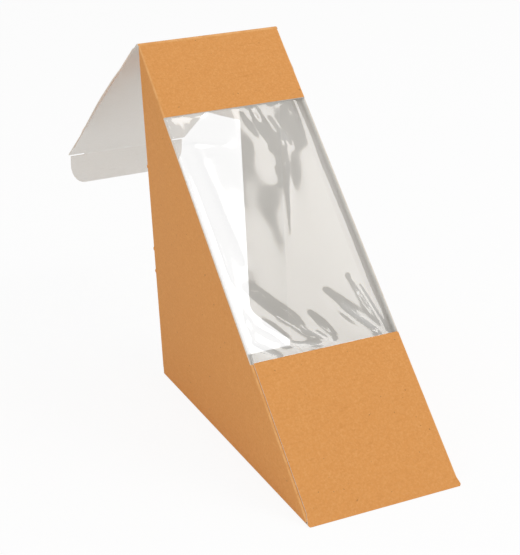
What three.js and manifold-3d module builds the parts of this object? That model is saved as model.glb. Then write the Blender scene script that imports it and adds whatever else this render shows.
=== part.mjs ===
// Triangular takeaway sandwich carton in kraft paperboard, standing on its base.
// One folded and glued sheet makes the body, a clear film closes the window in the slope,
// and the back stands open: the lid with its tuck flap and side flaps, and two dust flaps.
// Millimetres. +X is across the carton, +Y points to the open back, +Z is up.
// The origin is the middle of the base, on its underside.

import * as THREE from 'three';
import { mergeVertices } from 'three/addons/utils/BufferGeometryUtils.js';
import Module from 'manifold-3d';

const wasm = await Module();
wasm.setup();

// Carton, outside sizes
const width = 52;
const depth = 123;
const height = 123;
const board = 0.4;
const foldRadius = 0.6;

// Bands of board above and below the window, measured along the slope
const topBand = 30;
const lowerBand = 53;
const lowerBandInset = 0.8;
const lowerBandFlareStart = 0.6;
const lowerBandFlareEnd = 4;

// Glue flanges of the side walls, under the lower band and on the base
const slopeFlange = 12;
const slopeFlangeFoot = 8;
const slopeFlangeTaper = 4;
const baseFlange = 12;
const baseFlangeFront = 16;
const baseFlangeRear = 4;
const baseFlangeTaper = 8;
const baseFlangeCorner = 2;

// Dust flaps, folded on the rear edges of the side walls and sprung part open
const dustFlap = 16;
const dustFlapFoot = 3;
const dustFlapHead = 5;
const dustFlapTaper = 10;
const dustFlapCorner = 3;
const dustFlapFlare = 46.8;
const ridgeLip = 1;

// Window film
const film = 0.2;
const filmOverlap = 8;
const filmSideMargin = 8;
const filmFold = 0.6;

// Back lid and its flaps
const lidOpening = 58.5;
const tuckLength = 14;
const tuckCorner = 10;
const tuckFold = 45;
const tuckSideClearance = 0.4;
const slitLength = 7.4;
const slitWidth = 0.4;
const sideFlap = 16;
const sideFlapStart = 4;
const sideFlapEnd = 88;
const sideFlapTaper = 16;
const sideFlapCorner = 2.5;
const sideFlapFlare = 35.1;

// Clearances
const gap = 0.3;
const foldGap = 0.4;
const cutOver = 0.05;
const foldHeight = 1.3;
const hingeSetBack = 0.1;
const hingeDrop = 0.2;
const lidTopGap = 0.4;

// Looks
const kraft = 0xd9a566;
const clear = 0xe9eef0;
const boardRoughness = 0.85;
const filmRoughness = 0.1;

// Values worked out from the sizes above
const front = -depth / 2;
const rear = depth / 2;
const slope = Math.atan2(height, depth);
const slopeLength = Math.hypot(height, depth);
const hingeY = rear + hingeSetBack;
const hingeZ = height - hingeDrop;
const lidFace = gap - hingeSetBack;
const lidMiddle = lidFace + board / 2;
const lidLength = hingeZ - foldHeight;
const sideFoldX = width / 2 + gap + board / 2;
const dustFoldX = width / 2 - board / 2;
const dustFoldY = rear - board / 2;

// Frames: the side view, the slope seen from outside, and a view from behind.
const X = new THREE.Vector3(1, 0, 0);
const Y = new THREE.Vector3(0, 1, 0);
const Z = new THREE.Vector3(0, 0, 1);
const sideView = new THREE.Matrix4().makeBasis(Y, Z, X);
const alongSlope = new THREE.Vector3(0, Math.cos(slope), Math.sin(slope));
const outOfSlope = new THREE.Vector3(0, -Math.sin(slope), Math.cos(slope));
const slopeView = new THREE.Matrix4().makeBasis(X, alongSlope, outOfSlope).setPosition(0, front, 0);
const slopeSection = new THREE.Matrix4()
  .makeBasis(X, outOfSlope, alongSlope.clone().negate())
  .setPosition(0, front, 0);
const backView = new THREE.Matrix4().makeBasis(X, Z, Y.clone().negate());
const plan = new THREE.Matrix4();

function toSolid(geometry) {
  const bare = geometry.clone();
  bare.deleteAttribute('normal');
  bare.deleteAttribute('uv');
  const merged = mergeVertices(bare);
  return new wasm.Manifold(new wasm.Mesh({
    numProp: 3,
    vertProperties: new Float32Array(merged.attributes.position.array),
    triVerts: new Uint32Array(merged.index.array),
  }));
}

function toGeometry(solid) {
  const mesh = solid.getMesh();
  const geometry = new THREE.BufferGeometry();
  geometry.setAttribute('position', new THREE.BufferAttribute(mesh.vertProperties, 3));
  geometry.setIndex(new THREE.BufferAttribute(mesh.triVerts, 1));
  const flat = geometry.toNonIndexed();
  flat.computeVertexNormals();
  return flat;
}

// A corner is a point with an optional radius, and an outline is a list of corners.
function corner(x, y, radius = 0) {
  return { at: new THREE.Vector2(x, y), radius };
}

function outline(corners) {
  const shape = new THREE.Shape();
  corners.forEach(({ at, radius }, i) => {
    const before = corners[(i + corners.length - 1) % corners.length].at;
    const after = corners[(i + 1) % corners.length].at;
    const start = at.clone().add(before.clone().sub(at).setLength(radius));
    const end = at.clone().add(after.clone().sub(at).setLength(radius));
    if (i === 0) {
      shape.moveTo(start.x, start.y);
    } else {
      shape.lineTo(start.x, start.y);
    }
    if (radius > 0) {
      shape.quadraticCurveTo(at.x, at.y, end.x, end.y);
    }
  });
  shape.closePath();
  return shape;
}

// A flat panel of one outline, with its faces at two heights in the frame it is drawn in.
function panel(corners, low, high, frame) {
  const geometry = new THREE.ExtrudeGeometry(outline(corners), {
    depth: high - low,
    bevelEnabled: false,
    curveSegments: 8,
  });
  geometry.translate(0, 0, low);
  geometry.applyMatrix4(frame);
  return geometry;
}

function rectangle(left, bottom, right, top) {
  return [corner(left, bottom), corner(right, bottom), corner(right, top), corner(left, top)];
}

function mirrored(corners) {
  return corners.map(({ at, radius }) => corner(-at.x, at.y, radius)).reverse();
}

// Where the slope, moved inwards by inset, meets a height or a depth
function slopeY(z, inset) {
  return front + z / Math.tan(slope) + inset / Math.sin(slope);
}

function slopeZ(y, inset) {
  return (y - front - inset / Math.sin(slope)) * Math.tan(slope);
}

// A wedge with rolled side edges, smaller by inset on every face
function wedge(inset) {
  const radius = foldRadius - inset;
  const corners = [
    corner(slopeY(inset, inset), inset),
    corner(rear - inset, inset),
    corner(rear - inset, slopeZ(rear - inset, inset)),
  ];
  const geometry = new THREE.ExtrudeGeometry(outline(corners), {
    depth: width - 2 * inset - 2 * radius,
    bevelEnabled: true,
    bevelThickness: radius,
    bevelSize: radius,
    bevelOffset: -radius,
    bevelSegments: 4,
  });
  geometry.translate(0, 0, -width / 2 + inset + radius);
  geometry.applyMatrix4(sideView);
  return toSolid(geometry);
}

// The window is cut from fold to fold through the slope.
function windowCut() {
  return toSolid(panel(
    rectangle(-width, lowerBand, width, slopeLength - topBand),
    -board - cutOver, foldRadius, slopeView,
  ));
}

// What is cut away under the lower band leaves one tapered glue flange on each side wall.
function slopeFlangeCut() {
  const edge = width / 2 - slopeFlange;
  return toSolid(panel([
    corner(-edge + slopeFlangeTaper, slopeFlangeFoot),
    corner(edge - slopeFlangeTaper, slopeFlangeFoot),
    corner(edge, slopeFlangeFoot + slopeFlange),
    corner(edge, lowerBand + cutOver),
    corner(-edge, lowerBand + cutOver),
    corner(-edge, slopeFlangeFoot + slopeFlange),
  ], -board - cutOver, foldRadius, slopeView));
}

// The back is open, and the walls and the base end a fold's clearance before the dust flaps.
function backCut() {
  return toSolid(panel(
    rectangle(-width, -board, width, height - ridgeLip),
    -rear - foldRadius, foldGap - dustFoldY, backView,
  ));
}

// The lower band is the outer ply: it folds up from the base and is glued over the flanges.
function lowerBandPly() {
  const narrow = width / 2 - lowerBandInset;
  const half = [
    corner(width / 2, -2 * board),
    corner(width / 2, lowerBandFlareStart),
    corner(narrow, lowerBandFlareEnd),
    corner(narrow, lowerBand),
  ];
  const corners = [...half, ...half.map(({ at }) => corner(-at.x, at.y)).reverse()];
  return toSolid(panel(corners, -cutOver, board, slopeView));
}

// The right wall's foot is turned in and glued on the base.
function baseFlangePly() {
  const wall = width / 2 - board / 2;
  const free = width / 2 - baseFlange;
  const start = front + baseFlangeFront;
  const end = rear - baseFlangeRear;
  return toSolid(panel([
    corner(free, start + baseFlangeTaper, baseFlangeCorner),
    corner(free, end - baseFlangeTaper, baseFlangeCorner),
    corner(wall, end),
    corner(wall, start),
  ], board - cutOver, 2 * board, plan));
}

function cartonGeometry() {
  const ground = toSolid(panel(rectangle(-width, -depth, width, depth), -depth, 0, plan));
  const body = wedge(0)
    .subtract(wedge(board))
    .subtract(windowCut())
    .subtract(slopeFlangeCut())
    .subtract(backCut())
    .add(lowerBandPly())
    .add(baseFlangePly())
    .subtract(ground);
  return toGeometry(body);
}

// The film lies behind both bands, and its side margins are folded in along the walls.
function filmGeometry() {
  const half = width / 2 - board - gap;
  const face = -board - cutOver - gap;
  const foot = face - filmSideMargin;
  const inner = filmFold - film;
  const corners = [
    corner(-half, foot),
    corner(-half + film, foot),
    corner(-half + film, face - film, inner),
    corner(half - film, face - film, inner),
    corner(half - film, foot),
    corner(half, foot),
    corner(half, face, filmFold),
    corner(-half, face, filmFold),
  ];
  const low = lowerBand - filmOverlap;
  const high = slopeLength - topBand + filmOverlap;
  return panel(corners, -high, -low, slopeSection);
}

// The lid is drawn shut, hanging from its hinge at the ridge.
function lidGeometry() {
  const half = sideFoldX - foldGap;
  return panel(
    rectangle(-half, -lidLength + foldGap, half, -lidTopGap),
    -lidFace - board, -lidFace, backView,
  );
}

// The tuck flap hangs from the lid's fold. A slit at each end of the fold frees its shoulders.
function tuckGeometry() {
  const half = width / 2 - board - tuckSideClearance;
  const slitEnd = sideFoldX - slitLength;
  const shoulder = foldGap + slitWidth;
  return panel([
    corner(-slitEnd, -foldGap),
    corner(-slitEnd, -shoulder),
    corner(-half, -shoulder),
    corner(-half, -tuckLength, tuckCorner),
    corner(half, -tuckLength, tuckCorner),
    corner(half, -shoulder),
    corner(slitEnd, -shoulder),
    corner(slitEnd, -foldGap),
  ], -board / 2, board / 2, backView);
}

// A side flap is drawn square to the lid, as it lies along the outside of the wall when shut.
function sideFlapGeometry() {
  return panel([
    corner(-foldGap, -sideFlapStart),
    corner(-sideFlap, -sideFlapStart - sideFlapTaper, sideFlapCorner),
    corner(-sideFlap, -sideFlapEnd + sideFlapTaper, sideFlapCorner),
    corner(-foldGap, -sideFlapEnd),
  ], -board / 2, board / 2, sideView);
}

// A dust flap is drawn shut, reaching inwards from its wall across the back.
function dustFlapGeometry(side) {
  const top = height - dustFlapHead;
  const corners = [
    corner(foldGap, dustFlapFoot),
    corner(dustFlap, dustFlapFoot + dustFlapTaper, dustFlapCorner),
    corner(dustFlap, top - dustFlapTaper, dustFlapCorner),
    corner(foldGap, top),
  ];
  return panel(side < 0 ? corners : mirrored(corners), -board / 2, board / 2, backView);
}

function piece(name, geometry, color, roughness) {
  const mesh = new THREE.Mesh(geometry, new THREE.MeshStandardMaterial({ color, roughness, metalness: 0 }));
  mesh.name = name;
  return mesh;
}

const pack = new THREE.Group();
pack.add(piece('carton', cartonGeometry(), kraft, boardRoughness));
pack.add(piece('window_film', filmGeometry(), clear, filmRoughness));

const lid = new THREE.Group();
lid.position.set(0, hingeY, hingeZ);
lid.rotation.x = THREE.MathUtils.degToRad(lidOpening);
lid.add(piece('lid', lidGeometry(), kraft, boardRoughness));
pack.add(lid);

const tuck = new THREE.Group();
tuck.position.set(0, lidMiddle, -lidLength);
tuck.rotation.x = THREE.MathUtils.degToRad(-tuckFold);
tuck.add(piece('tuck_flap', tuckGeometry(), kraft, boardRoughness));
lid.add(tuck);

for (const [name, side] of [['left_side_flap', -1], ['right_side_flap', 1]]) {
  const flap = new THREE.Group();
  flap.position.set(side * sideFoldX, lidMiddle, 0);
  flap.rotation.z = THREE.MathUtils.degToRad(side * sideFlapFlare);
  flap.add(piece(name, sideFlapGeometry(), kraft, boardRoughness));
  lid.add(flap);
}

for (const [name, side] of [['left_dust_flap', -1], ['right_dust_flap', 1]]) {
  const flap = new THREE.Group();
  flap.position.set(side * dustFoldX, dustFoldY, 0);
  flap.rotation.z = THREE.MathUtils.degToRad(-side * dustFlapFlare);
  flap.add(piece(name, dustFlapGeometry(side), kraft, boardRoughness));
  pack.add(flap);
}

export default pack;
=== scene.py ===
"""Looks of a triangular kraft-board sandwich carton with a film window and an open back lid."""

import math

import bmesh
import bpy
from mathutils import Matrix, Vector, noise
from mathutils.geometry import interpolate_bezier


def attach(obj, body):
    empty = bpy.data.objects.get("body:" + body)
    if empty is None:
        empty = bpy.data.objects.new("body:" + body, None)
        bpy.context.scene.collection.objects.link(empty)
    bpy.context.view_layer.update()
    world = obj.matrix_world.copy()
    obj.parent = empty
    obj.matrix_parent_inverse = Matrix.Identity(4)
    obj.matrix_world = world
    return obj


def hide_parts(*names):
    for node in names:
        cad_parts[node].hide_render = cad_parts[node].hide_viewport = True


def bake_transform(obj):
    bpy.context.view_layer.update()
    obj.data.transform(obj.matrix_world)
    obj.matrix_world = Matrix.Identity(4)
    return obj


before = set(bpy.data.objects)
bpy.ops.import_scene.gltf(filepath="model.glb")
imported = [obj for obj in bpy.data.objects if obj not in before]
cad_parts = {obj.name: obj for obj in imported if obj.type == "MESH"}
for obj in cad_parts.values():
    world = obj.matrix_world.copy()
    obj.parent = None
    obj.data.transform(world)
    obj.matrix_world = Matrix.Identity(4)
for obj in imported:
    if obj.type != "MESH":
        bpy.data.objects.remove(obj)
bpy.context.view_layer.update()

# The carton is modelled in millimetres and scaled to metres as each piece is finished.
MM = 0.001
X = Vector((1, 0, 0))
Y = Vector((0, 1, 0))
Z = Vector((0, 0, 1))

# Board and folds
BOARD = 0.4
FOLD = 0.6
FOLD_GAP = 0.4
ROLL_MARGIN = 0.03
FOLD_STEPS = 6
BEVEL_STEPS = 4
CORNER_STEPS = 7
BEND_HANDLE = 0.36
SLICE = 5.0
SHARP_ANGLE = math.radians(32)

# Distances that count as none when vertices are chosen, cut or merged
LEVEL = 1e-6
CUT_TOLERANCE = 1e-4
MERGE = 0.001

# Carton
HALF = 26.0
FRONT = -61.5
REAR = 61.5
WALL_REAR = 60.9
HEIGHT = 123.0
SLOPE = math.radians(45)
SLOPE_LENGTH = math.hypot(REAR - FRONT, HEIGHT)
TOP_BAND = 30.0
LOWER_BAND = 53.0
BAND_INSET = 0.8
BAND_FLARE = (0.6, 4.0)
BAND_CLEARANCE = 0.02
WINDOW_STEP = 0.65
WALL_BULGE = 0.35
BULGE_RUN = 25.0
BULGE_MARGIN = 0.05
NIB_HEIGHTS = (80.0, 49.5, 41.0)
NIB_SIZE = (0.5, 0.7, 0.9)

# Glue flanges
SLOPE_FLANGE = 12.0
FLANGE_FOOT = 1.6
FLANGE_NOTCH = 0.7
FLANGE_TAPER = 4.0
BASE_FLANGE = 12.0
BASE_FLANGE_ENDS = (-45.5, 56.0)
BASE_FLANGE_TAPER = 8.0
BASE_FLANGE_BEND = (0.8, 1.5)
FLANGE_CORNER = 2.0

# Film. It lies flat against the bands and wrinkles from FILM_FLAT behind their edges.
FILM = 0.08
FILM_DEPTH = 0.48
FILM_HALF = 25.45
FILM_MARGIN = 8.0
FILM_OVERLAP = 8.0
FILM_CELL = 0.6
FILM_FLAT = 2.0
FILM_FADE = 3.0

# Lid, tuck flap, side flaps and dust flaps
LID_OPENING = math.radians(58.5)
HINGE = Vector((0, 61.6, 122.8))
LID_FACE = 0.6
LID_MIDDLE = 0.4
LID_LENGTH = 121.5
LID_START = 0.9
LID_HALF = 26.1
TUCK_FOLD = math.radians(45)
TUCK_LENGTH = 14.0
TUCK_CORNER = 9.0
TUCK_HALF = 25.1
SLIT_END = 19.1
SLIT_WIDTH = 0.4
SIDE_FOLD_X = 26.5
SIDE_FLARE = math.radians(35.1)
SIDE_FLAP = 16.0
SIDE_ENDS = (4.0, 88.0)
SIDE_TAPER = 16.0
SIDE_CORNER = 2.5
SIDE_CURL = math.radians(10)
CURL_AT_FOOT = 0.5
CURL_REACH = 9.0
DUST_FOLD = Vector((25.8, 61.3, 0))
DUST_FLARE = math.radians(46.8)
DUST_FLAP = 16.0
DUST_ENDS = (3.0, 118.0)
DUST_TAPER = 10.0
DUST_CORNER = 3.0

ALONG_SLOPE = Vector((0, math.cos(SLOPE), math.sin(SLOPE)))
OUT_OF_SLOPE = Vector((0, -math.sin(SLOPE), math.cos(SLOPE)))

# A point in the carton. The outsides of the walls, bands, base, lid, tuck flap and dust flaps look
# away from it.
INSIDE = Vector((0, 20, 40))


def slope_point(x, along, out=0.0):
    """A point on the slope, as far along it from the toe and out of it as the two distances say."""
    return Vector((x, FRONT, 0)) + ALONG_SLOPE * along + OUT_OF_SLOPE * out


def smooth(share):
    """Eases from 0 to 1 as share goes from 0 to 1."""
    share = max(0.0, min(1.0, share))
    return share * share * (3 - 2 * share)


def open_edge(bm, a, b):
    return [bm.edges.new((bm.verts.new(a), bm.verts.new(b)))]


def extend(bm, edges, shift, along=X, taper=0.0):
    """Draws a row of edges out by a vector, its ends drawn in by taper, and returns the far edges."""
    geom = bmesh.ops.extrude_edge_only(bm, edges=edges)["geom"]
    verts = [g for g in geom if isinstance(g, bmesh.types.BMVert)]
    bmesh.ops.translate(bm, verts=verts, vec=shift)
    if taper:
        middle = sum((v.co for v in verts), Vector()) / len(verts)
        for v in verts:
            v.co -= along * math.copysign(taper, (v.co - middle).dot(along))
    return [g for g in geom if isinstance(g, bmesh.types.BMEdge)]


def crease(bm, edges, start, leave, end, arrive):
    """Draws edges through a smooth bend that leaves start and arrives at end in the given directions."""
    # Marks the bend to be painted paler: partly a worn crease, partly a painted highlight.
    fold_wear_and_highlight = bm.verts.layers.float.get("fold_wear_and_highlight") or bm.verts.layers.float.new("fold_wear_and_highlight")
    reach = (end - start).length * BEND_HANDLE
    points = interpolate_bezier(start, start + leave * reach, end - arrive * reach, end, FOLD_STEPS + 1)
    for before, after in zip(points, points[1:]):
        edges = extend(bm, edges, after - before)
        if after is not points[-1]:
            for v in {v for e in edges for v in e.verts}:
                v[fold_wear_and_highlight] = 1.0
    for v in {v for e in edges for v in e.verts}:
        v[fold_wear_and_highlight] = 0.0
    return edges


def round_corners(bm, edges, radius):
    """Rounds the outer corners of a flap whose far edges are given."""
    ends = {v for e in edges for v in e.verts}
    corners = [v for v in ends if sum(v in e.verts for e in edges) == 1]
    bmesh.ops.bevel(bm, geom=corners, offset=radius, offset_type="OFFSET", segments=CORNER_STEPS,
                    profile=0.5, affect="VERTICES", material=-1)


def slice_sheet(bm, step=SLICE):
    """Cuts a sheet into small faces, so that it can bow and bend."""
    low = [min(v.co[i] for v in bm.verts) for i in range(3)]
    high = [max(v.co[i] for v in bm.verts) for i in range(3)]
    for i, axis in enumerate((X, Y, Z)):
        for k in range(1, int((high[i] - low[i]) / step)):
            everything = bm.verts[:] + bm.edges[:] + bm.faces[:]
            bmesh.ops.bisect_plane(bm, geom=everything, dist=CUT_TOLERANCE,
                                   plane_co=axis * (low[i] + k * step), plane_no=axis)


def face_out(bm, inner):
    """Turns a sheet's faces away from a point on its inner side."""
    bmesh.ops.recalc_face_normals(bm, faces=bm.faces[:])
    bm.normal_update()
    outward = sum(f.normal.dot(f.calc_center_median() - inner) * f.calc_area() for f in bm.faces)
    if outward < 0:
        bmesh.ops.reverse_faces(bm, faces=bm.faces[:])


def finish_piece(name, bm, materials, thickness):
    """Makes a closed piece from an open sheet. Its outside, inside and cut edge take the materials."""
    layered = len(materials) > 1
    bmesh.ops.scale(bm, vec=(MM, MM, MM), verts=bm.verts[:])
    mesh = bpy.data.meshes.new(name)
    bm.to_mesh(mesh)
    bm.free()
    piece = bpy.data.objects.new(name, mesh)
    bpy.context.scene.collection.objects.link(piece)
    for material in materials:
        mesh.materials.append(material)
    solid = piece.modifiers.new("thickness", "SOLIDIFY")
    solid.thickness = thickness * MM
    solid.offset = -1
    solid.use_even_offset = True
    solid.material_offset = 1 if layered else 0
    solid.material_offset_rim = 2 if layered else 0
    bpy.context.view_layer.update()
    final = bpy.data.meshes.new_from_object(piece.evaluated_get(bpy.context.evaluated_depsgraph_get()))
    piece.modifiers.clear()
    piece.data = final
    final.name = name
    for face in final.polygons:
        face.use_smooth = True
    final.set_sharp_from_angle(angle=SHARP_ANGLE)
    return piece


# Materials. These are the sockets of a Mix node that mixes colours.
MIX_SHARE = 0
MIX_UNDER = 6
MIX_OVER = 7
MIX_RESULT = 2


def new_material(name):
    material = bpy.data.materials.new(name)
    material.use_nodes = True
    tree = material.node_tree
    tree.nodes.clear()
    output = tree.nodes.new("ShaderNodeOutputMaterial")
    return material, tree, output


def node(tree, kind, **values):
    made = tree.nodes.new(kind)
    for name, value in values.items():
        if hasattr(made, name):
            setattr(made, name, value)
        else:
            made.inputs[name.replace("_", " ")].default_value = value
    return made


def object_position(tree, scale=(1, 1, 1), turn=(0, 0, 0)):
    coordinate = tree.nodes.new("ShaderNodeTexCoord")
    mapping = tree.nodes.new("ShaderNodeMapping")
    mapping.inputs["Scale"].default_value = scale
    mapping.inputs["Rotation"].default_value = turn
    tree.links.new(coordinate.outputs["Object"], mapping.inputs["Vector"])
    return mapping.outputs["Vector"]


def pattern(tree, scale, detail, low, high, stretch=(1, 1, 1), turn=(0, 0, 0)):
    """A noise from 0, up to low, to 1, from high on. It is as fine as scale says, in marks per metre."""
    made = node(tree, "ShaderNodeTexNoise", Scale=scale, Detail=detail, Roughness=0.6)
    tree.links.new(object_position(tree, stretch, turn), made.inputs["Vector"])
    spread = node(tree, "ShaderNodeMapRange", From_Min=low, From_Max=high)
    tree.links.new(made.outputs["Fac"], spread.inputs["Value"])
    return spread.outputs["Result"]


def mix_shaders(tree, share, first, second):
    """Shows the second shader by a share, and the first by the rest."""
    mix = tree.nodes.new("ShaderNodeMixShader")
    for socket, source in zip(mix.inputs, (share, first.outputs[0], second.outputs[0])):
        tree.links.new(source, socket)
    return mix


def tint(tree, under, colour, share):
    """Lays a colour over another, which is a colour or a socket, by a pattern."""
    mix = node(tree, "ShaderNodeMix", data_type="RGBA")
    tree.links.new(share, mix.inputs[MIX_SHARE])
    if isinstance(under, tuple):
        mix.inputs[MIX_UNDER].default_value = (*under, 1)
    else:
        tree.links.new(under, mix.inputs[MIX_UNDER])
    mix.inputs[MIX_OVER].default_value = (*colour, 1)
    return mix.outputs[MIX_RESULT]


def weaker(tree, value, share):
    """Multiplies a pattern by a number or by another pattern."""
    made = node(tree, "ShaderNodeMath", operation="MULTIPLY")
    tree.links.new(value, made.inputs[0])
    if isinstance(share, float):
        made.inputs[1].default_value = share
    else:
        tree.links.new(share, made.inputs[1])
    return made.outputs[0]


# How strongly the marks in the paperboard show, its shine, and its tooth in metres
CLOUD_SHARE = 0.25
PALE_FIBRES = 0.30
DARK_FIBRES = 0.40
PAPER_SHINE = 0.25
TOOTH_DEPTH = 0.00006
ROUGHNESS_SPREAD = (0.08, 0.06)


def paper(name, base, dark, pale, fleck, roughness, bump, mottling, flecks):
    """Paperboard: mottling, fibres that cross, a few dark flecks, and paler along its folds, partly worn
    creases and partly a painted highlight.
    """
    material, tree, output = new_material(name)
    clouds = pattern(tree, 160, detail=3, low=0.35, high=0.75)
    dark_grain = pattern(tree, 1100, detail=4, low=0.4, high=0.75)
    pale_grain = pattern(tree, 1600, detail=3, low=0.45, high=0.75)
    fibres = pattern(tree, 1100, detail=2, low=0.56, high=0.72, stretch=(1, 0.25, 1), turn=(0.4, 0.3, 0.5))
    crossing = pattern(tree, 1000, detail=2, low=0.60, high=0.76, stretch=(0.25, 1, 0.8),
                       turn=(0.9, 0.2, -0.6))
    specks = pattern(tree, 900, detail=1, low=0.76, high=0.82)
    rubbing_and_highlight = pattern(tree, 300, detail=3, low=0.25, high=0.6)
    fold_wear_and_highlight = node(tree, "ShaderNodeAttribute", attribute_name="fold_wear_and_highlight")
    colour = tint(tree, base, dark, weaker(tree, clouds, CLOUD_SHARE * mottling))
    colour = tint(tree, colour, dark, weaker(tree, dark_grain, mottling))
    colour = tint(tree, colour, pale, weaker(tree, pale_grain, mottling))
    colour = tint(tree, colour, pale, weaker(tree, fibres, PALE_FIBRES))
    colour = tint(tree, colour, dark, weaker(tree, crossing, DARK_FIBRES))
    colour = tint(tree, colour, fleck, weaker(tree, specks, flecks))
    # Paler along the folds: partly worn creases, partly a painted highlight
    colour = tint(tree, colour, pale, weaker(tree, fold_wear_and_highlight.outputs["Fac"], rubbing_and_highlight))
    shader = node(tree, "ShaderNodeBsdfPrincipled", Roughness=roughness)
    shader.inputs["Specular IOR Level"].default_value = PAPER_SHINE
    tree.links.new(colour, shader.inputs["Base Color"])
    tooth = pattern(tree, 1800, detail=4, low=0.2, high=0.8)
    relief = node(tree, "ShaderNodeBump", Strength=bump, Distance=TOOTH_DEPTH)
    tree.links.new(tooth, relief.inputs["Height"])
    tree.links.new(relief.outputs["Normal"], shader.inputs["Normal"])
    smoother, rougher = ROUGHNESS_SPREAD
    rough = node(tree, "ShaderNodeMapRange", To_Min=roughness - smoother, To_Max=roughness + rougher)
    tree.links.new(fibres, rough.inputs["Value"])
    tree.links.new(rough.outputs["Result"], shader.inputs["Roughness"])
    tree.links.new(shader.outputs["BSDF"], output.inputs["Surface"])
    return material


# The film's index as a mirror, the roughness of its gloss, how hazy it is from flat to creased, and the
# colours of what it lets through, mirrors and scatters
FILM_MIRROR = 1.95
NO_MIRROR = 1.0
FILM_ROUGHNESS = (0.08, 0.12)
FILM_HAZE = (0.008, 0.30)
FILM_TINT = (0.985, 0.985, 0.985, 1)
GLOSS_TINT = (1, 0.965, 0.925, 1)
HAZE_TINT = (0.85, 0.86, 0.87, 1)


def clear_film():
    """Clear glossy film: it mirrors by Fresnel and its creases are a little hazy.

    The face that light enters by mirrors for both faces, and the other one lets all light out, so that
    no light is caught between them when the film is seen edge on.
    """
    material, tree, output = new_material("clear_film")
    facing = tree.nodes.new("ShaderNodeNewGeometry")
    bend = node(tree, "ShaderNodeMapRange", To_Min=FILM_MIRROR, To_Max=NO_MIRROR)
    tree.links.new(facing.outputs["Backfacing"], bend.inputs["Value"])
    fresnel = node(tree, "ShaderNodeFresnel")
    tree.links.new(bend.outputs["Result"], fresnel.inputs["IOR"])
    through = node(tree, "ShaderNodeBsdfTransparent", Color=FILM_TINT)
    gloss = node(tree, "ShaderNodeBsdfGlossy", Color=GLOSS_TINT)
    smeared = node(tree, "ShaderNodeMapRange", To_Min=FILM_ROUGHNESS[0], To_Max=FILM_ROUGHNESS[1])
    tree.links.new(pattern(tree, 70, detail=2, low=0.3, high=0.7), smeared.inputs["Value"])
    tree.links.new(smeared.outputs["Result"], gloss.inputs["Roughness"])
    haze = node(tree, "ShaderNodeBsdfDiffuse", Color=HAZE_TINT)
    creased = node(tree, "ShaderNodeAttribute", attribute_name="creased")
    share = node(tree, "ShaderNodeMapRange", To_Min=FILM_HAZE[0], To_Max=FILM_HAZE[1])
    tree.links.new(creased.outputs["Fac"], share.inputs["Value"])
    hazy = mix_shaders(tree, share.outputs["Result"], through, haze)
    surface = mix_shaders(tree, fresnel.outputs[0], hazy, gloss)
    tree.links.new(surface.outputs[0], output.inputs["Surface"])
    return material


KRAFT = paper("kraft_outside", base=(0.725, 0.318, 0.087), dark=(0.60, 0.245, 0.058),
              pale=(0.84, 0.44, 0.165), fleck=(0.20, 0.08, 0.03), roughness=0.82, bump=0.30,
              mottling=0.4, flecks=0.8)
GREY = paper("greyish_inside", base=(0.86, 0.845, 0.81), dark=(0.79, 0.77, 0.73),
             pale=(0.91, 0.905, 0.88), fleck=(0.50, 0.42, 0.34), roughness=0.85, bump=0.25,
             mottling=0.2, flecks=0.35)
CUT = paper("cut_edge", base=(0.72, 0.66, 0.58), dark=(0.55, 0.43, 0.32), pale=(0.85, 0.81, 0.75),
            fleck=(0.35, 0.22, 0.14), roughness=0.9, bump=0.4, mottling=0.5, flecks=0.6)
PAPERS = [KRAFT, GREY, CUT]
CLEAR = clear_film()


# Carton
def half_sheet():
    """The left half of the folded sheet, up to the middle: wall, bands, base and slope flange."""
    bm = bmesh.new()
    flange = slope_point(-HALF, FLANGE_FOOT)
    window_low = slope_point(-HALF, LOWER_BAND)
    window_high = slope_point(-HALF, SLOPE_LENGTH - TOP_BAND)
    step = OUT_OF_SLOPE * -WINDOW_STEP
    outline = {
        "toe": slope_point(-HALF, 0) + Vector((0, -BOARD * math.sqrt(2), 0)),
        "notch": flange - ALONG_SLOPE * FLANGE_NOTCH,
        "notch_floor": flange + step,
        "flange": flange,
        "window_low": window_low,
        "window_low_step": window_low + step,
        "window_high_step": window_high + step,
        "window_high": window_high,
        "top": slope_point(-HALF, (WALL_REAR - FRONT) * math.sqrt(2)),
        "heel": Vector((-HALF, WALL_REAR, 0)),
    }
    wall = {name: bm.verts.new(point) for name, point in outline.items()}
    bm.faces.new(list(wall.values()))

    def edge(a, b):
        return [e for e in bm.edges if {wall[a], wall[b]} == set(e.verts)]

    band_fold = edge("window_high", "top")
    base_fold = edge("heel", "toe")
    flange_fold = edge("flange", "window_low")
    extend(bm, band_fold, X * HALF)
    extend(bm, base_fold, X * HALF)
    extend(bm, flange_fold, X * SLOPE_FLANGE, ALONG_SLOPE, FLANGE_TAPER)
    base_front = [e for e in wall["toe"].link_edges if e not in base_fold
                  and all(abs(v.co.z) < LEVEL for v in e.verts)]
    lift = extend(bm, base_front, ALONG_SLOPE * (BAND_FLARE[0] + BOARD))
    lift = extend(bm, lift, ALONG_SLOPE * (BAND_FLARE[1] - BAND_FLARE[0]))
    narrow = {v for e in lift for v in e.verts if v.co.x < -HALF / 2}
    bmesh.ops.translate(bm, verts=list(narrow), vec=X * BAND_INSET)
    extend(bm, lift, ALONG_SLOPE * (LOWER_BAND - BAND_FLARE[1]))
    bmesh.ops.bevel(bm, geom=band_fold + base_fold + flange_fold, offset=FOLD, offset_type="OFFSET",
                    segments=BEVEL_STEPS, profile=0.5, affect="EDGES", material=-1)
    return bm


def cut_nibs(bm):
    """Small nibs on the left wall's rear edge, where the blank was held in its cutting die."""
    for height in NIB_HEIGHTS:
        nib = bmesh.ops.create_icosphere(bm, subdivisions=2, radius=1.0)["verts"]
        bmesh.ops.scale(bm, vec=NIB_SIZE, verts=nib)
        bmesh.ops.translate(bm, vec=(-HALF + BOARD / 2, WALL_REAR, height), verts=nib)


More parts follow.
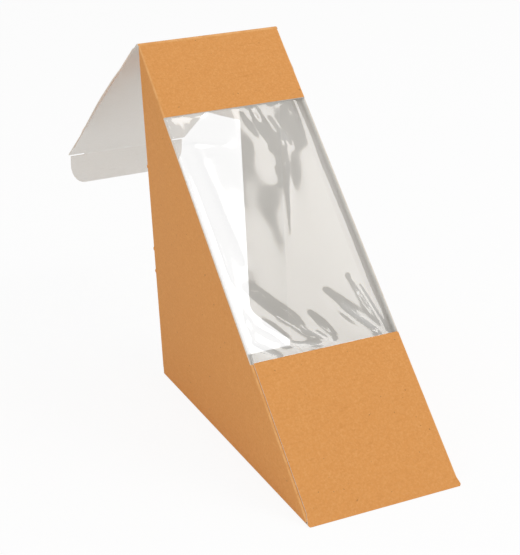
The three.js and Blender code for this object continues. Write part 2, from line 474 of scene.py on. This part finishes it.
def base_flange():
    """The right wall's foot, turned in and glued on the base."""
    bm = bmesh.new()
    start, end = BASE_FLANGE_ENDS
    inner = HALF - BOARD - BAND_CLEARANCE
    level = 2 * BOARD + BAND_CLEARANCE
    across, up = BASE_FLANGE_BEND
    foot = open_edge(bm, (inner, start, level + up), (inner, end, level + up))
    foot = crease(bm, foot, Vector((inner, 0, level + up)), -Z, Vector((inner - across, 0, level)), -X)
    far = extend(bm, foot, -X * (BASE_FLANGE - BOARD - across), Y, BASE_FLANGE_TAPER)
    round_corners(bm, far, FLANGE_CORNER)
    return bm


def mark_fold_wear_and_highlight(bm):
    """Marks the rolled edges between the bands, the walls and the base to be painted paler: partly worn
    creases, partly a painted highlight.
    """
    fold_wear_and_highlight = bm.verts.layers.float.get("fold_wear_and_highlight") or bm.verts.layers.float.new("fold_wear_and_highlight")
    for v in bm.verts:
        rolled = HALF - FOLD + ROLL_MARGIN < abs(v.co.x) < HALF - ROLL_MARGIN
        v[fold_wear_and_highlight] = 1.0 if rolled and v.co.y > FRONT + 2 * FOLD else 0.0


def bulge(bm):
    """The side walls bow out a little between their folds."""
    for v in bm.verts:
        if abs(v.co.x) > HALF - BULGE_MARGIN:
            under_slope = (v.co.y - FRONT - v.co.z) / math.sqrt(2)
            run = min(v.co.z, WALL_REAR - v.co.y, under_slope) / BULGE_RUN
            v.co.x += math.copysign(WALL_BULGE * smooth(run), v.co.x)


def carton():
    bm = half_sheet()
    bmesh.ops.mirror(bm, geom=bm.verts[:] + bm.edges[:] + bm.faces[:], axis="X", merge_dist=MERGE)
    bmesh.ops.remove_doubles(bm, verts=bm.verts[:], dist=MERGE / 2)
    mark_fold_wear_and_highlight(bm)
    slice_sheet(bm)
    bulge(bm)
    cut_nibs(bm)
    face_out(bm, INSIDE)
    flange = base_flange()
    face_out(flange, INSIDE)
    loose = bpy.data.meshes.new("flange")
    flange.to_mesh(loose)
    flange.free()
    bm.from_mesh(loose)
    bpy.data.meshes.remove(loose)
    piece = finish_piece("folded_carton", bm, PAPERS, BOARD)
    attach(piece, "carton_body")
    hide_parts("carton")


# Window film. A wrinkle runs between two points of the slope. Its half width, height and haze follow.
WRINKLES = [
    ((3.2, 149), (6.8, 129), 3.6, -1.15, 0.10),
    ((10.8, 148), (14.2, 131), 2.8, -0.95, 0.10),
    ((16.6, 149), (16.6, 128), 3.4, -0.75, 0.10),
    ((6.0, 126), (6.0, 114), 4.0, -0.80, 0.05),
    ((13.4, 132), (13.2, 126), 1.4, 0.55, 0.35),
    ((12.4, 125), (3.0, 93.5), 0.8, 0.14, 0.20),
    ((-19.5, 146), (-12.0, 140), 5.5, -1.20, 0.0),
    ((-18.8, 133), (-15.8, 87), 2.0, 0.20, 0.50),
    ((-24.0, 133.6), (-7.6, 130.7), 0.9, 0.18, 0.35),
    ((-16.0, 130), (-13.0, 124), 3.0, 0.10, 0.25),
    ((-23.8, 128), (-23.4, 60), 1.4, -0.35, 0.45),
    ((-20.0, 77), (-5.0, 57), 3.4, -1.10, 0.10),
    ((-21.0, 67), (-11.5, 58), 1.8, 0.40, 0.30),
    ((-25.0, 60.5), (-16.0, 53.5), 0.9, -0.45, 0.70),
    ((-13.0, 57), (0.0, 54.5), 0.9, 0.30, 0.60),
    ((6.5, 71), (17.0, 55.5), 2.4, -0.85, 0.10),
    ((11.5, 66), (20.5, 54), 0.9, 0.32, 0.55),
    ((17.4, 75), (22.0, 56), 1.6, 0.50, 0.25),
    ((20.2, 72), (23.2, 56), 1.0, -0.45, 0.20),
    ((-1.6, 65), (3.2, 56), 1.8, -0.60, 0.15),
    ((-4.6, 61), (4.6, 54), 0.8, 0.26, 0.45),
]
WRINKLE_TAPER = 1.4
WRINKLE_END = 0.25
FILM_ROLL = (21.2, 24.9, 1.1)
FILM_WAVE = 0.22
WAVE_LENGTHS = (9, 16)
WAVE_LAYER = 3


def wrinkle(x, along):
    """Height of the wrinkled film at a point of the slope, and how hazy it is there."""
    height = 0.0
    hazy = 0.0
    for (x0, a0), (x1, a1), width, rise, haze in WRINKLES:
        run = Vector((x1 - x0, a1 - a0))
        at = Vector((x - x0, along - a0))
        share = at.dot(run) / run.length_squared
        aside = (at - run * max(0.0, min(1.0, share))).length / width
        middle = max(0.0, 1 - abs(share - 0.5) * WRINKLE_TAPER)
        bell = math.exp(-aside * aside) * (WRINKLE_END + (1 - WRINKLE_END) * middle)
        height += rise * bell
        hazy += haze * bell
    across_wave, along_wave = WAVE_LENGTHS
    height += FILM_WAVE * noise.noise(Vector((x / across_wave, along / along_wave, WAVE_LAYER)))
    return height, min(1.0, hazy)


def roll_off(x):
    """How far the film rolls down towards the right wall."""
    start, end, drop = FILM_ROLL
    share = max(0.0, (x - start) / (end - start))
    return drop * share * share


def window_film():
    window_end = SLOPE_LENGTH - TOP_BAND
    low = LOWER_BAND - FILM_OVERLAP
    high = window_end + FILM_OVERLAP
    half_length = (high - low) / 2
    half_width = FILM_HALF - FOLD
    bm = bmesh.new()
    bmesh.ops.create_grid(bm, x_segments=round(2 * FILM_HALF / FILM_CELL),
                          y_segments=round(2 * half_length / FILM_CELL), size=1)
    bmesh.ops.scale(bm, vec=(half_width, half_length, 1), verts=bm.verts[:])
    bmesh.ops.translate(bm, vec=(0, low + half_length, 0), verts=bm.verts[:])
    creases = bm.verts.layers.float.new("creased")
    for v in bm.verts:
        x, along, _ = v.co
        near_edge = min(half_width - abs(x), along - LOWER_BAND + FILM_FLAT, window_end + FILM_FLAT - along)
        share = smooth(near_edge / FILM_FADE)
        height, creased = wrinkle(x, along)
        v.co.z = height * share - roll_off(x)
        v[creases] = creased * share
    for side in (-1, 1):
        edge = [e for e in bm.edges if e.is_boundary
                and all(v.co.x * side > half_width - ROLL_MARGIN for v in e.verts)]
        start = Vector((side * half_width, 0, 0))
        end = Vector((side * FILM_HALF, 0, -FOLD))
        edge = crease(bm, edge, start, X * side, end, -Z)
        extend(bm, edge, Z * (FOLD - FILM_MARGIN))
    placed = Matrix((X, ALONG_SLOPE, OUT_OF_SLOPE)).transposed().to_4x4()
    placed.translation = slope_point(0, 0, -FILM_DEPTH)
    bmesh.ops.transform(bm, matrix=placed, verts=bm.verts[:])
    face_out(bm, INSIDE)
    piece = finish_piece("wrinkled_film", bm, [CLEAR], FILM)
    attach(piece, "carton_body")
    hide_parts("window_film")


# Flaps. Each is one piece with its crease, which bends between the two panels that it joins.
def turned(place, angle, axis):
    return Matrix.Translation(place) @ Matrix.Rotation(angle, 4, axis)


LID = turned(HINGE, LID_OPENING, "X")
TUCK = LID @ turned(Vector((0, LID_MIDDLE, -LID_LENGTH)), -TUCK_FOLD, "X")


def direction(place, vector):
    return (place.to_3x3() @ vector).normalized()


def curl(bm, place, side):
    """A side flap curls outwards from its crease, and most at the end near the ridge."""
    flat = place.inverted()
    top, foot = SIDE_ENDS
    for v in bm.verts:
        at = flat @ v.co
        near_ridge = (foot + at.z) / (foot - top)
        most = side * SIDE_CURL * (CURL_AT_FOOT + (1 - CURL_AT_FOOT) * smooth(near_ridge))
        angle = most * smooth(-at.y / CURL_REACH)
        v.co = place @ Matrix.Rotation(angle, 4, "Z") @ at


def flap_piece(name, bm, inner, replaced):
    """Finishes a flap: slices it, turns its faces out, gives it thickness, and hides the part that it
    replaces.
    """
    slice_sheet(bm)
    face_out(bm, inner)
    piece = finish_piece(name, bm, PAPERS, BOARD)
    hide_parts(replaced)
    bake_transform(piece)


def back_lid():
    bm = bmesh.new()
    start = slope_point(0, (WALL_REAR - FRONT) * math.sqrt(2))
    end = LID @ Vector((0, LID_FACE, -LID_START))
    down = direction(LID, -Z)
    far = open_edge(bm, start - X * HALF, start + X * HALF)
    far = crease(bm, far, start, ALONG_SLOPE, end, down)
    for v in {v for e in far for v in e.verts}:
        v.co.x = math.copysign(LID_HALF, v.co.x)
    extend(bm, far, down * (LID_LENGTH - FOLD_GAP - LID_START))
    flap_piece("back_lid", bm, INSIDE, "lid")


def tuck_flap():
    bm = bmesh.new()
    start = LID @ Vector((0, LID_FACE, -LID_LENGTH + FOLD_GAP))
    end = TUCK @ Vector((0, BOARD / 2, -FOLD_GAP - SLIT_WIDTH))
    down = direction(TUCK, -Z)
    fold = open_edge(bm, start - X * SLIT_END, start + X * SLIT_END)
    fold = crease(bm, fold, start, direction(LID, -Z), end, down)
    ends = sorted({v for e in fold for v in e.verts}, key=lambda v: v.co.x)
    for v in (ends[0], ends[-1]):
        shoulder = bm.verts.new((math.copysign(TUCK_HALF, v.co.x), v.co.y, v.co.z))
        fold.append(bm.edges.new((v, shoulder)))
    far = extend(bm, fold, down * (TUCK_LENGTH - FOLD_GAP - SLIT_WIDTH))
    round_corners(bm, far, TUCK_CORNER)
    flap_piece("tuck_flap_sheet", bm, INSIDE, "tuck_flap")


def side_flap(side, name):
    bm = bmesh.new()
    place = LID @ turned(Vector((side * SIDE_FOLD_X, LID_MIDDLE, 0)), side * SIDE_FLARE, "Z")
    top, foot = SIDE_ENDS
    along = direction(LID, -Z)
    start = LID @ Vector((side * LID_HALF, LID_FACE, -top))
    end = place @ Vector((side * BOARD / 2, -FOLD_GAP, -top))
    inwards = direction(place, -Y)
    fold = open_edge(bm, start, start + along * (foot - top))
    fold = crease(bm, fold, start, X * side, end, inwards)
    far = extend(bm, fold, inwards * (SIDE_FLAP - FOLD_GAP), along, SIDE_TAPER)
    round_corners(bm, far, SIDE_CORNER)
    slice_sheet(bm)
    curl(bm, place, side)
    inner = LID @ Vector((0, -SIDE_FLAP, -(top + foot) / 2))
    flap_piece(name + "_sheet", bm, inner, name)


def dust_flap(side, name):
    bm = bmesh.new()
    place = turned(Vector((side * DUST_FOLD.x, DUST_FOLD.y, 0)), -side * DUST_FLARE, "Z")
    foot, top = DUST_ENDS
    start = Vector((side * HALF, WALL_REAR, foot))
    end = place @ Vector((-side * FOLD_GAP, BOARD / 2, foot))
    inwards = direction(place, -X * side)
    fold = open_edge(bm, start, start + Z * (top - foot))
    fold = crease(bm, fold, start, Y, end, inwards)
    far = extend(bm, fold, inwards * (DUST_FLAP - FOLD_GAP), Z, DUST_TAPER)
    round_corners(bm, far, DUST_CORNER)
    flap_piece(name + "_sheet", bm, INSIDE, name)


carton()
window_film()
back_lid()
tuck_flap()
for side, word in ((-1, "left"), (1, "right")):
    side_flap(side, word + "_side_flap")
    dust_flap(side, word + "_dust_flap")


# Floor, world and lamps, in metres
FLOOR_HALF = 4.0
FLOOR_DROP = 0.0001
FLOOR_COLOUR = (0.96, 0.96, 0.96, 1)
WHITE = (1, 1, 1, 1)
BACKDROP_SHARE = 0.90
WORLD_LIGHT = 0.66
LAMP_TARGET = Vector((0, 0, 0.055))


def is_seen(tree, kinds):
    """1 for a ray of any of the given kinds, and 0 for others."""
    path = tree.nodes.new("ShaderNodeLightPath")
    total = path.outputs[kinds[0]]
    for kind in kinds[1:]:
        most = node(tree, "ShaderNodeMath", operation="MAXIMUM")
        tree.links.new(total, most.inputs[0])
        tree.links.new(path.outputs[kind], most.inputs[1])
        total = most.outputs[0]
    return total


def pale_floor():
    bm = bmesh.new()
    bmesh.ops.create_grid(bm, x_segments=1, y_segments=1, size=FLOOR_HALF)
    mesh = bpy.data.meshes.new("floor")
    bm.to_mesh(mesh)
    bm.free()
    floor = bpy.data.objects.new("floor", mesh)
    floor.location.z = -FLOOR_DROP
    bpy.context.scene.collection.objects.link(floor)
    material, tree, output = new_material("pale_floor")
    lit = node(tree, "ShaderNodeBsdfDiffuse", Color=FLOOR_COLOUR)
    white = node(tree, "ShaderNodeEmission", Color=WHITE, Strength=1.0)
    share = weaker(tree, is_seen(tree, ["Is Camera Ray"]), BACKDROP_SHARE)
    surface = mix_shaders(tree, share, lit, white)
    tree.links.new(surface.outputs[0], output.inputs["Surface"])
    mesh.materials.append(material)


def white_world():
    world = bpy.data.worlds.new("white_room")
    world.use_nodes = True
    bpy.context.scene.world = world
    tree = world.node_tree
    tree.nodes.clear()
    output = tree.nodes.new("ShaderNodeOutputWorld")
    light = node(tree, "ShaderNodeBackground", Color=WHITE, Strength=WORLD_LIGHT)
    white = node(tree, "ShaderNodeBackground", Color=WHITE, Strength=1.0)
    seen = is_seen(tree, ["Is Camera Ray", "Is Glossy Ray", "Is Transmission Ray"])
    surface = mix_shaders(tree, seen, light, white)
    tree.links.new(surface.outputs[0], output.inputs["Surface"])


def soft_lamp(name, towards, distance, width, depth, radiance):
    """A rectangular lamp that faces the carton from a direction, as bright as radiance says."""
    lamp = bpy.data.lights.new(name, "AREA")
    lamp.shape = "RECTANGLE"
    lamp.size = width
    lamp.size_y = depth
    lamp.energy = radiance * math.pi * width * depth
    placed = bpy.data.objects.new(name, lamp)
    away = Vector(towards).normalized()
    placed.location = LAMP_TARGET + away * distance
    placed.rotation_euler = away.to_track_quat("Z", "Y").to_euler()
    bpy.context.scene.collection.objects.link(placed)


# Camera: its direction, roll, distance and focal length are those of the photograph. The focal length is
# in pixels of the picture, whose height is its longer side and so spans the sensor.
IMAGE_HEIGHT = 555
CAMERA_AZIMUTH = math.radians(-22.99)
CAMERA_ELEVATION = math.radians(20.63)
CAMERA_ROLL = math.radians(-2.83)
CAMERA_DISTANCE = 434.6
CAMERA_TARGET = Vector((-11.3, 0, 55.4))
CLIP_START = 10.0
FOCAL_PIXELS = 1350
SENSOR = 36.0


def camera():
    flat = math.cos(CAMERA_ELEVATION)
    back = Vector((math.sin(CAMERA_AZIMUTH) * flat, -math.cos(CAMERA_AZIMUTH) * flat,
                   math.sin(CAMERA_ELEVATION)))
    level = Z.cross(back).normalized()
    upright = back.cross(level)
    right = level * math.cos(CAMERA_ROLL) + upright * math.sin(CAMERA_ROLL)
    up = upright * math.cos(CAMERA_ROLL) - level * math.sin(CAMERA_ROLL)
    lens = bpy.data.cameras.new("camera")
    lens.sensor_width = SENSOR
    lens.lens = SENSOR * FOCAL_PIXELS / IMAGE_HEIGHT
    lens.clip_start = CLIP_START * MM
    placed = bpy.data.objects.new("camera", lens)
    pose = Matrix((right, up, back)).transposed().to_4x4()
    pose.translation = (CAMERA_TARGET + back * CAMERA_DISTANCE) * MM
    placed.matrix_world = pose
    bpy.context.scene.collection.objects.link(placed)
    bpy.context.scene.camera = placed


pale_floor()
white_world()
soft_lamp("overhead_softbox", (0.64, -0.352, 0.861), distance=1.13, width=0.66, depth=0.52, radiance=2.9)
soft_lamp("strip_lamp", (0.06, -0.352, 0.861), distance=1.0, width=0.05, depth=0.50, radiance=5.5)
soft_lamp("left_fill", (-0.70, -0.65, 0.22), distance=1.3, width=1.0, depth=0.8, radiance=0.95)
camera()
bpy.context.scene.view_settings.view_transform = "Standard"
